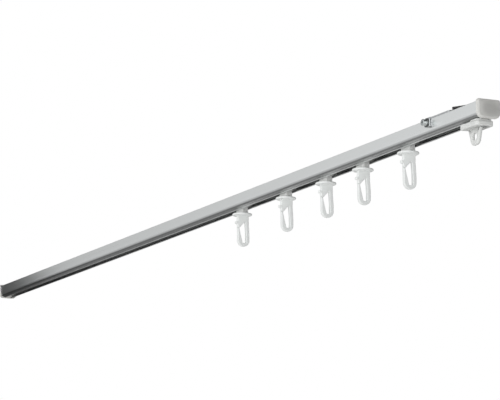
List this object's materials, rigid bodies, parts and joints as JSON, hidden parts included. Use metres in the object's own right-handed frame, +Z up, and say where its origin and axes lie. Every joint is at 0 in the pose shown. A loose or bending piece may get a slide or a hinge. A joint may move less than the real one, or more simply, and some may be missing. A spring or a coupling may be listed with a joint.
{
  "type": "curtain track",
  "caption": "Slim ceiling curtain track: satin aluminium channel with end caps, sliding hook gliders, an end stop with eyelet and a clamping ceiling bracket.",
  "frame": {"origin": "centre of the bracket's ceiling screw hole, on the face that lies on the ceiling", "axes": "+X along the rail towards the end with the end stop, +Y towards the window, away from the room, +Z up to the ceiling"},
  "size_m": [1.19, 0.0287, 0.0564],
  "materials": {
    "aluminium_rail": "satin anodised",
    "grey_cap": "soft matte moulding",
    "milky_plastic": "milky, slightly translucent moulding",
    "zinc_steel": "zinc plated",
    "screw_steel": "bright zinc plated screw",
    "black_plastic": "black moulding"
  },
  "bodies": {
    "track": {"track_rail": "aluminium_rail", "end_cap_near": "grey_cap", "end_cap_far": "grey_cap", "end_stop_body": "milky_plastic", "end_stop_nut": "milky_plastic", "end_stop_screw": "zinc_steel", "bracket_plate": "zinc_steel", "bracket_foot": "zinc_steel", "foot_rivets": "zinc_steel"},
    "clamp": {"clamp_screw": "screw_steel"},
    "lever": {"bracket_lever": "black_plastic", "lever_cam": "zinc_steel"},
    "runner_1": {"glider_runner_1": "milky_plastic"},
    "hook_1": {"glider_hook_1": "milky_plastic"},
    "runner_2": {"glider_runner_2": "milky_plastic"},
    "hook_2": {"glider_hook_2": "milky_plastic"},
    "runner_3": {"glider_runner_3": "milky_plastic"},
    "hook_3": {"glider_hook_3": "milky_plastic"},
    "runner_4": {"glider_runner_4": "milky_plastic"},
    "hook_4": {"glider_hook_4": "milky_plastic"},
    "runner_5": {"glider_runner_5": "milky_plastic"},
    "hook_5": {"glider_hook_5": "milky_plastic"}
  },
  "joints": [
    {"name": "clamp_turn", "type": "hinge", "parent": "track", "child": "clamp", "pos_m": [-0.025, -0.016, -0.0068], "axis": [0, -1, 0], "range_deg": [0, 180]},
    {"name": "lever_turn", "type": "hinge", "parent": "track", "child": "lever", "pos_m": [0.025, 0, -0.001], "axis": [0, 0, 1], "range_deg": [0, 90]},
    {"name": "runner_1_slide", "type": "slide", "parent": "track", "child": "runner_1", "axis": [1, 0, 0], "range_m": [-0.0325, 0.095]},
    {"name": "hook_1_swivel", "type": "hinge", "parent": "runner_1", "child": "hook_1", "pos_m": [-0.0805, 0, -0.03], "axis": [0, 0, 1], "continuous": true},
    {"name": "runner_2_slide", "type": "slide", "parent": "track", "child": "runner_2", "axis": [1, 0, 0], "range_m": [-0.0268, 0.0325]},
    {"name": "hook_2_swivel", "type": "hinge", "parent": "runner_2", "child": "hook_2", "pos_m": [-0.1667, 0, -0.03], "axis": [0, 0, 1], "continuous": true},
    {"name": "runner_3_slide", "type": "slide", "parent": "track", "child": "runner_3", "axis": [1, 0, 0], "range_m": [-0.0324, 0.0268]},
    {"name": "hook_3_swivel", "type": "hinge", "parent": "runner_3", "child": "hook_3", "pos_m": [-0.2414, 0, -0.03], "axis": [0, 0, 1], "continuous": true},
    {"name": "runner_4_slide", "type": "slide", "parent": "track", "child": "runner_4", "axis": [1, 0, 0], "range_m": [-0.0397, 0.0324]},
    {"name": "hook_4_swivel", "type": "hinge", "parent": "runner_4", "child": "hook_4", "pos_m": [-0.3273, 0, -0.03], "axis": [0, 0, 1], "continuous": true},
    {"name": "runner_5_slide", "type": "slide", "parent": "track", "child": "runner_5", "axis": [1, 0, 0], "range_m": [-0.682, 0.0397]},
    {"name": "hook_5_swivel", "type": "hinge", "parent": "runner_5", "child": "hook_5", "pos_m": [-0.4277, 0, -0.03], "axis": [0, 0, 1], "continuous": true}
  ]
}
